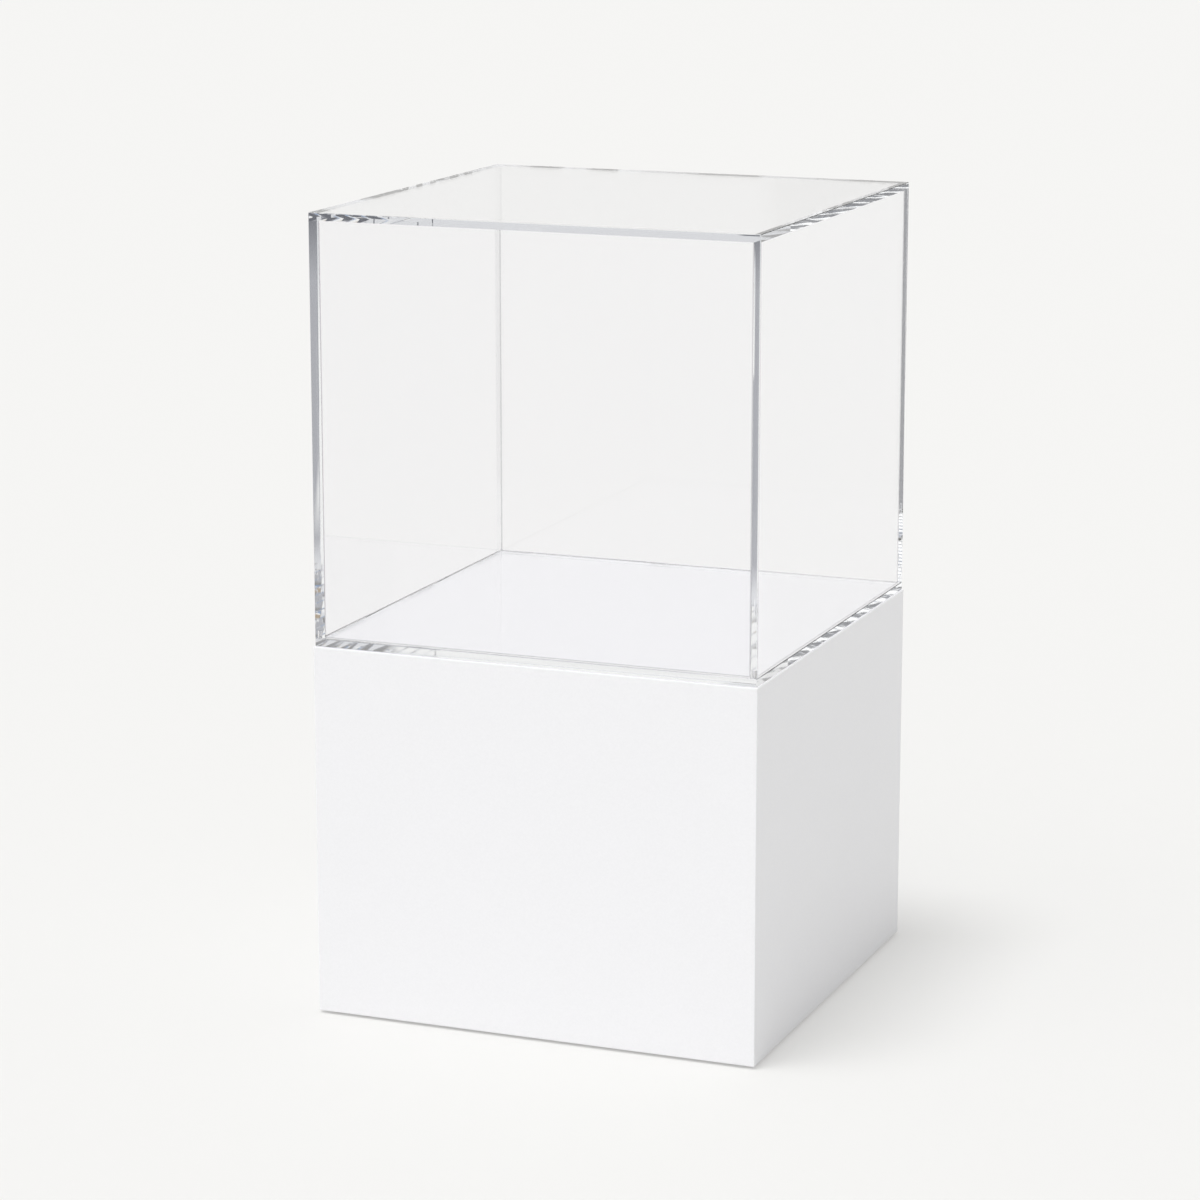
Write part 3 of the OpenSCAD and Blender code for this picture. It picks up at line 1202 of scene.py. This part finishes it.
@dataclass
class LevellingFeet:
    """The four feet: a pad on the floor, and a stud that turns in it and screws up.

    Args:
        pad_outline: The pad's outline, from the floor.
        pad_sides: How many sides the pad has.
        stud_outline: The stud's outline below its thread.
        stud_sides: How many sides its head has.
        flat_to_flat: Width of the hexagon.
        hexagon_low: Height of its underside.
        hexagon_high: Height of its top.
        chamfer: How much of its corners is turned away at each end.
        chamfer_angle: The angle of that cut, in degrees.
        chamfer_spare: How much wider the turned shape is than the corners between the cuts.
        thread_radius: Radius of the thread's crests.
        thread_sides: How many sides the threaded rod has.
        thread_sunk: How deep the rod starts inside the hexagon.
        thread_bevel: Bevel on its end.
        thread: The thread.
    """

    pad_outline: Outline = (
        (0, 0.4), (8.9, 0.4), (9.3, 0), (10.8, 0), (11.1, 0.35), (12.0, 0.35), (12.3, 0),
        (14.4, 0), (14.75, 0.15), (14.95, 0.5), (15, 0.8), (15, 2.4), (14.9, 2.85),
        (14.6, 3.2), (8.6, 8.35), (8.2, 8.7), (7.8, 8.92), (7.4, 9), (4.5, 9), (4.2, 8.92),
        (4.02, 8.7), (4.02, 7.2), (5.1, 7.2), (5.1, 3.5), (0, 3.5),
    )
    pad_sides: int = 64
    stud_outline: Outline = (
        (0, 3.6), (4.5, 3.6), (4.85, 3.75), (5, 4.1), (5, 6.6), (4.85, 6.95), (4.5, 7.1),
        (3.6, 7.1), (3.6, 13.0), (0, 13.0),
    )
    stud_sides: int = 48
    flat_to_flat: float = 0.013
    hexagon_low: float = 0.0095
    hexagon_high: float = 0.014
    chamfer: float = 0.0008
    chamfer_angle: float = 30.0
    chamfer_spare: float = 0.00002
    thread_radius: float = 0.00392
    thread_sides: int = 24
    thread_sunk: float = 0.0011
    thread_bevel: float = 0.0006
    thread: Thread = Thread(pitch=0.00125, depth=0.00072)

    def build(self, nylon: Material, zinc: Material) -> None:
        """Models one foot and copies it to the corners.

        Args:
            nylon: The pad's finish.
            zinc: The stud's finish.
        """
        first = Corner.FRONT_LEFT.label
        low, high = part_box(f"foot_pad_{first}")
        centre = Vector(((low.x + high.x) / 2, (low.y + high.y) / 2, 0))
        pad = spin_profile("pad", in_metres(self.pad_outline), centre, self.pad_sides)
        stud = self._model_stud(centre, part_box(f"foot_stud_{first}")[1].z)
        for corner in Corner:
            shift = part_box(f"foot_pad_{corner.label}")[0] - low
            for kind, model, slot, finish in (
                ("pad", pad, "nylon", nylon),
                ("stud", stud, "zinc", zinc),
            ):
                node = f"foot_{kind}_{corner.label}"
                piece = place_copy(model, f"levelling_{node}", shift)
                smooth(piece)
                settle(piece, f"{kind}_{corner.label}", [node], finish)
        bpy.data.objects.remove(pad, do_unlink=True)
        bpy.data.objects.remove(stud, do_unlink=True)

    def _model_stud(self, centre: Vector, top: float) -> Object:
        """Turns the stud's head and neck, and joins its hexagon and thread to them.

        Args:
            centre: The middle of the foot on the floor.
            top: Height of the stud's upper end.

        Returns:
            The stud.
        """
        stud = spin_profile("stud", in_metres(self.stud_outline), centre, self.stud_sides)
        start = self.hexagon_high - self.thread_sunk
        rod = add_rod(
            "rod", centre + Vector((0, 0, start)), top - start, self.thread_radius,
            self.thread_sides,
        )
        self.thread.cut(rod)
        bevel_edges(rod, self.thread_bevel, 1, lies_at(top))
        return combine(stud, [self._model_hexagon(centre), rod], Merge.JOINED)

    def _model_hexagon(self, centre: Vector) -> Object:
        """Models the hexagon, with its corners turned away at both ends.

        Args:
            centre: The middle of the foot on the floor.

        Returns:
            The hexagon.
        """
        corner = self.flat_to_flat / math.sqrt(3)
        low, high = self.hexagon_low, self.hexagon_high
        hexagon = add_rod("hexagon", centre + Vector((0, 0, low)), high - low, corner, 6)
        drop = self.chamfer * math.tan(math.radians(self.chamfer_angle))
        inner, outer = corner - self.chamfer, corner + self.chamfer_spare
        outline = [(0, low), (inner, low), (outer, low + drop)]
        outline += [(outer, high - drop), (inner, high), (0, high)]
        barrel = spin_profile("barrel", outline, centre, self.stud_sides)
        return combine(hexagon, [barrel], Merge.COMMON)


@dataclass
class BottomScrews:
    """The countersunk screws that hold the bottom panel, two along each side.

    Args:
        outline: The screw's outline, from its head's face.
        sides: How many sides it has.
        head_radius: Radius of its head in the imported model.
        from_middle: How far the screws of a side stand from its middle.
        turn_side: How much further a screw is turned at each next side, in radians.
        turn_pair: How much further the second screw of a side is turned.
        thread_radius: Radius of the thread's crests.
        thread_sides: How many sides the threaded rod has.
        thread_start: How far up the thread starts, from the head's face.
        thread_end: How far up it ends.
        recess_width: Width of an arm of the cross recess.
        recess_reach: Length across both of its arms.
        recess_depth: Its depth.
        recess_taper: The share of its size that is left at the bottom.
        thread: The thread.
    """

    outline: Outline = (
        (0, 0), (3.75, 0), (3.95, 0.1), (3.95, 0.3), (2.1, 2.15), (1.35, 3.0), (1.35, 26.0),
        (1.2, 27.0), (0, 30.0),
    )
    sides: int = 32
    head_radius: float = 0.004
    from_middle: float = 0.09
    turn_side: float = 0.7
    turn_pair: float = 1.9
    thread_radius: float = 0.0019
    thread_sides: int = 20
    thread_start: float = 0.008
    thread_end: float = 0.0265
    recess_width: float = 0.0009
    recess_reach: float = 0.0042
    recess_depth: float = 0.0019
    recess_taper: float = 0.45
    thread: Thread = Thread(pitch=0.0018, depth=0.0006, flat=0.05, cuts=9)

    def build(self, zinc: Material) -> None:
        """Models one screw and copies it to its eight places.

        Args:
            zinc: The finish.
        """
        low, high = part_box("bottom_screws")
        model = self._model_screw(low.z)
        reach = high.x - self.head_radius
        copies = []
        for index, side in enumerate(Side):
            for number, place in enumerate((-self.from_middle, self.from_middle)):
                spot = Vector((place, -reach, 0))
                spot.rotate(Euler((0, 0, math.pi / 2 * index)))
                turn = self.turn_side * index + self.turn_pair * number
                copies.append(place_copy(model, f"screw_{side.value}_{number}", spot, turn))
        bpy.data.objects.remove(model, do_unlink=True)
        screws = join("countersunk_screws", copies)
        smooth(screws)
        settle(screws, "pedestal", ["bottom_screws"], zinc)

    def _model_screw(self, foot: float) -> Object:
        """Models a screw over the origin, with its head down.

        Args:
            foot: Height of the head's face.

        Returns:
            The screw.
        """
        screw = spin_profile("screw", in_metres(self.outline, foot), Vector(), self.sides)
        face = Vector((0, 0, foot))
        rod = add_rod(
            "rod", face + Vector((0, 0, self.thread_start)), self.thread_end - self.thread_start,
            self.thread_radius, self.thread_sides,
        )
        self.thread.cut(rod)
        combine(screw, [rod], Merge.JOINED)
        arms = []
        across = (self.recess_reach, self.recess_width)
        for x, y in (across, across[::-1]):
            half = Vector((x / 2, y / 2, self.recess_depth))
            arm = add_block("arm", face - half, face + half)
            with editing(arm):
                select(arm, Pick.FACES, lambda face: face.normal.z > FLAT)
                bpy.ops.transform.resize(value=(self.recess_taper, self.recess_taper, 1))
            arms.append(arm)
        return combine(screw, arms, Merge.CUT)


# ---- Studio ----


@dataclass(frozen=True)
class Lamp:
    """A far lamp with soft shadows.

    Args:
        name: Its name.
        strength: Its strength.
        height: Its height above the horizon, in degrees.
        azimuth: How far it stands to the right of straight in front, in degrees.
        softness: How wide it looks, in degrees.
        distance: How far away it is drawn.
    """

    name: str
    strength: float
    height: float
    azimuth: float
    softness: float
    distance: float = 4.0

    def hang(self) -> None:
        """Hangs the lamp, where neither the gloss nor the clear sheets show it as a disc."""
        bpy.ops.object.select_all(action="DESELECT")
        turn = Euler((math.radians(90 - self.height), 0, math.radians(self.azimuth)), "XYZ")
        place = Vector((0, 0, self.distance))
        place.rotate(turn)
        bpy.ops.object.light_add(type="SUN", location=place, rotation=turn)
        lamp = bpy.context.active_object
        lamp.name = self.name
        lamp.data.energy = self.strength
        lamp.data.angle = math.radians(self.softness)
        lamp.visible_glossy = False
        lamp.visible_transmission = False


@dataclass(frozen=True)
class EdgeRoom:
    """The room that the sheets' edges show, after they have thrown a ray to and fro.

    The floor and the world show it to such rays alone, and light nothing with it. Distances are
    from the middle of the floor, heights are a ray's rise, and angles are from straight behind
    the case towards the right, in radians.

    Args:
        often: How often a ray is reflected, from none to where it sees only this room.
        falloff: How late in that span it starts to see it.
        dark: The floor round the case.
        far: The floor far away.
        front: The floor in front.
        pale: The pale side, far away.
        side: What lies above the floor, behind and to the right.
        light: What lies above it in front and to the left.
        warm: What lies close to the horizon.
        cool: What lies a little higher.
        high: What lies high up.
        near: Distance over which the floor by the case goes over into this room.
        strip: Where the floor to the left stops being bright, measured along X.
        strip_lean: How far that border leans, as X for each Y.
        far_from: Distance over which the dark floor goes over into the far floor.
        behind_to: Distance over which the pale floor behind the case ends.
        pale_from: Distance over which the bright floor goes over into the pale side.
        gap_from: Distance over which the gap's floor starts.
        gap_centre: Where the gap's angles on the floor are measured from.
        gap_start: Angles over which the narrow pale gap behind the case starts.
        gap_stop: Angles over which it stops.
        left_stop: Angles over which the left side stops.
        behind_stop: Angles over which the bright part behind the case stops.
        right_from: Angles over which the bands to the right start.
        right_stop: Angles over which the right side stops.
        warm_stop: Heights over which the warm band stops.
        cool_from: Heights over which the cool band starts.
        cool_stop: Heights over which it stops.
        dark_from: Heights over which the side turns dark.
        pale_stop: Heights over which the pale side stops.
        high_from: Heights over which the room high up starts.
    """

    often: Span = (0, 4)
    falloff: float = 3.0
    dark: Colour = (0.43, 0.435, 0.46)
    far: Colour = (0.14, 0.145, 0.165)
    front: Colour = (0.11, 0.115, 0.135)
    pale: Colour = (0.73, 0.735, 0.75)
    side: Colour = (0.27, 0.265, 0.26)
    light: Colour = (1.25, 1.25, 1.25)
    warm: Colour = (0.42, 0.34, 0.25)
    cool: Colour = (0.24, 0.33, 0.50)
    high: Colour = (0.42, 0.45, 0.52)
    near: Span = (0.5, 0.8)
    strip: Span = (0.146, 0.166)
    strip_lean: float = 0.35
    far_from: Span = (5, 6.5)
    behind_to: Span = (1.9, 2.1)
    pale_from: Span = (4.5, 5.5)
    gap_from: Span = (2.1, 2.5)
    gap_centre: tuple[float, float] = (-0.169, 0.2235)
    gap_start: Span = (0.400, 0.405)
    gap_stop: Span = (0.431, 0.434)
    left_stop: Span = (-1.30, -1.10)
    behind_stop: Span = (-0.3345, -0.331)
    right_from: Span = (-0.25, -0.15)
    right_stop: Span = (1.2, 1.5)
    warm_stop: Span = (0.102, 0.116)
    cool_from: Span = (0.121, 0.138)
    cool_stop: Span = (0.16, 0.17)
    dark_from: Span = (0.21, 0.26)
    pale_stop: Span = (0.15, 0.19)
    high_from: Span = (0.45, 0.7)

    def share(self, graph: Graph, ray: Mapping[str, NodeSocket]) -> Number:
        """How much of this room a ray sees: all of it after several reflections."""
        often = Number(graph, ray["Glossy Depth"]).rise(self.often)
        return graph.maths("POWER", often, self.falloff)

    def _gap(self, angle: Number) -> Number:
        """Picks the narrow pale gap behind the case, to the right."""
        return angle.rise(self.gap_start) * angle.fall(self.gap_stop)

    def on_floor(self, graph: Graph, background: Colour) -> NodeSocket:
        """Colours the floor of this room.

        Args:
            graph: The floor's graph.
            background: The floor's plain colour.

        Returns:
            The colour.
        """
        x, y, _ = graph.split(graph.coordinate())
        away = graph.maths("SQRT", x * x + y * y)
        not_left = graph.maths("ARCTAN2", x, y).rise(self.left_stop)
        bright = (x + y * self.strip_lean).fall(self.strip) * not_left
        from_gap = graph.maths("ARCTAN2", x - self.gap_centre[0], y - self.gap_centre[1])
        gap = self._gap(from_gap) * away.rise(self.gap_from)
        dark = graph.mix(away.rise(self.far_from), self.dark, self.far)
        dark = graph.mix((y > 0.0) * away.fall(self.behind_to), dark, self.pale)
        dark = graph.mix(y < 0.0, dark, self.front)
        pale = graph.mix(away.rise(self.pale_from), background, self.pale)
        return graph.mix(away.fall(self.near) | (bright | gap), dark, pale)

    def in_world(self, graph: Graph, background: Colour) -> NodeSocket:
        """Colours what stands behind the floor of this room.

        Args:
            graph: The world's graph.
            background: The background's plain colour.

        Returns:
            The colour.
        """
        x, y, up = graph.split(graph.coordinate("Generated"))
        angle = graph.maths("ARCTAN2", x, y)
        low = graph.mix(up.rise(self.warm_stop), self.warm, background)
        low = graph.mix(up.rise(self.cool_from), low, self.cool)
        high = graph.mix(up.rise(self.dark_from), self.side, self.dark)
        right = graph.mix(up.rise(self.cool_stop), low, high)
        right = graph.mix(angle.rise(self.right_from), self.side, right)
        bright = graph.mix(up.rise(self.pale_stop), self.pale, background)
        right = graph.mix(self._gap(angle), right, bright)
        not_left = angle.rise(self.left_stop)
        beside = angle.rise(self.behind_stop) * angle.fall(self.right_stop)
        room = graph.mix(beside, background, right)
        room = graph.mix(not_left * angle.fall(self.behind_stop), room, bright)
        room = graph.mix(not_left, self.light, room)
        return graph.mix(up.rise(self.high_from), room, self.high)


@dataclass
class Studio:
    """The floor, the light and the camera.

    Args:
        background: The colour of the floor and of what lies behind it.
        floor_colour: The floor's own colour.
        floor_share: How much of the floor's look is its own colour under the lamps.
        floor_size: Its width.
        floor_drop: How far it lies below the feet.
        sheen: How bright the background looks in a reflection.
        sky: Strength of the even light from all round.
        lamps: The lamps.
        room: What the sheets' edges show.
        camera_place: Where the camera stands.
        camera_pitch: How far it looks down, in degrees.
        camera_yaw: How far it is turned to the left, in degrees.
        lens: Focal length in millimetres, on a 36 mm frame.
        bounces: How often light may bounce.
    """

    background: Colour = (0.9165, 0.9131, 0.8996)
    floor_colour: Colour = (0.793, 0.790, 0.778)
    floor_share: float = 0.62
    floor_size: float = 120.0
    floor_drop: float = 0.0001
    sheen: float = 0.97
    sky: float = 0.632
    lamps: tuple[Lamp, ...] = (
        Lamp("key_light", 1.48, 72, -42, 28),
        Lamp("fill_light", 0.51, 30, -25, 70),
    )
    room: EdgeRoom = EdgeRoom()
    camera_place: tuple[float, float, float] = (1.343, -3.437, 1.215)
    camera_pitch: float = 12.68
    camera_yaw: float = 21.62
    lens: float = 114.9
    bounces: int = 64

    def build(self) -> None:
        """Sets up the whole studio."""
        self._build_floor()
        self._build_world()
        for lamp in self.lamps:
            lamp.hang()
        self._build_camera()
        self._set_bounces()

    @staticmethod
    def _seen(graph: Graph, ray: Mapping[str, NodeSocket]) -> Number:
        """Tells the rays that show the background from those that light the case.

        Args:
            graph: The graph.
            ray: What its Light Path node gives.

        Returns:
            1 for rays from the camera, a reflection or a clear piece.
        """
        camera, glossy, clear = (
            Number(graph, ray[f"Is {kind} Ray"]) for kind in ("Camera", "Glossy", "Transmission")
        )
        return camera | (glossy | clear)

    def _shown(self, graph: Graph, ray: Mapping[str, NodeSocket], room: NodeSocket) -> NodeSocket:
        """Colours the background as the camera finds it, directly or in the case.

        Args:
            graph: The graph.
            ray: What its Light Path node gives.
            room: The colour of the room that the sheets' edges show.

        Returns:
            The colour.
        """
        mirrored = Number(graph, ray["Glossy Depth"]) & 1.0
        dimmer = tuple(part * self.sheen for part in self.background)
        plain = graph.mix(mirrored, self.background, dimmer)
        return graph.mix(self.room.share(graph, ray), plain, room)

    def _build_floor(self) -> None:
        """Lays a wide pale floor that keeps the shadow and blends into what is behind it."""
        bpy.ops.object.select_all(action="DESELECT")
        bpy.ops.mesh.primitive_plane_add(size=self.floor_size, location=(0, 0, -self.floor_drop))
        floor = newest("studio_floor")
        material, graph = new_material("studio_floor")
        ray = graph.add("ShaderNodeLightPath").outputs
        matt = graph.shader("ShaderNodeBsdfDiffuse", Color=self.floor_colour)
        shown = self._shown(graph, ray, self.room.on_floor(graph, self.background))
        glow = graph.shader("ShaderNodeEmission", Color=shown, Strength=1.0)
        share = self._seen(graph, ray) * (1 - self.floor_share) | self.room.share(graph, ray)
        graph.end(Surface=graph.mix_shaders(share, matt, glow))
        floor.data.materials.append(material)

    def _build_world(self) -> None:
        """Fills the studio with even light, in front of the background's colour."""
        world = bpy.data.worlds.new("studio")
        bpy.context.scene.world = world
        world.use_nodes = True
        graph = Graph(world.node_tree)
        ray = graph.add("ShaderNodeLightPath").outputs
        light = graph.shader("ShaderNodeBackground", Color=(1.0, 1.0, 1.0), Strength=self.sky)
        shown = self._shown(graph, ray, self.room.in_world(graph, self.background))
        behind = graph.shader("ShaderNodeBackground", Color=shown, Strength=1.0)
        graph.end(
            "ShaderNodeOutputWorld",
            Surface=graph.mix_shaders(self._seen(graph, ray), light, behind),
        )

    def _build_camera(self) -> None:
        """Stands the camera where the photograph was taken from."""
        bpy.ops.object.select_all(action="DESELECT")
        turn = (math.radians(90 - self.camera_pitch), 0, math.radians(self.camera_yaw))
        bpy.ops.object.camera_add(location=self.camera_place, rotation=turn)
        camera = bpy.context.active_object
        camera.name = "photo_camera"
        camera.data.lens = self.lens
        bpy.context.scene.camera = camera

    def _set_bounces(self) -> None:
        """Lets light cross the clear sheets and run along inside their edges."""
        scene = bpy.context.scene
        scene.view_settings.view_transform = "Standard"
        for kind in ("max", "glossy", "transmission", "transparent_max"):
            setattr(scene.cycles, f"{kind}_bounces", self.bounces)


def main() -> None:
    """Builds the studio and the case, in order."""
    logging.basicConfig(level=logging.INFO, format="%(name)s: %(message)s")
    effects = Effects()
    Studio().build()
    Pedestal().dress(effects)
    ClearCase().build(Acrylic().material(effects))
    zinc = ZINC.material(effects)
    LevellingFeet().build(NYLON.material(effects), zinc)
    BottomScrews().build(zinc)


if __name__ == "__main__":
    main()
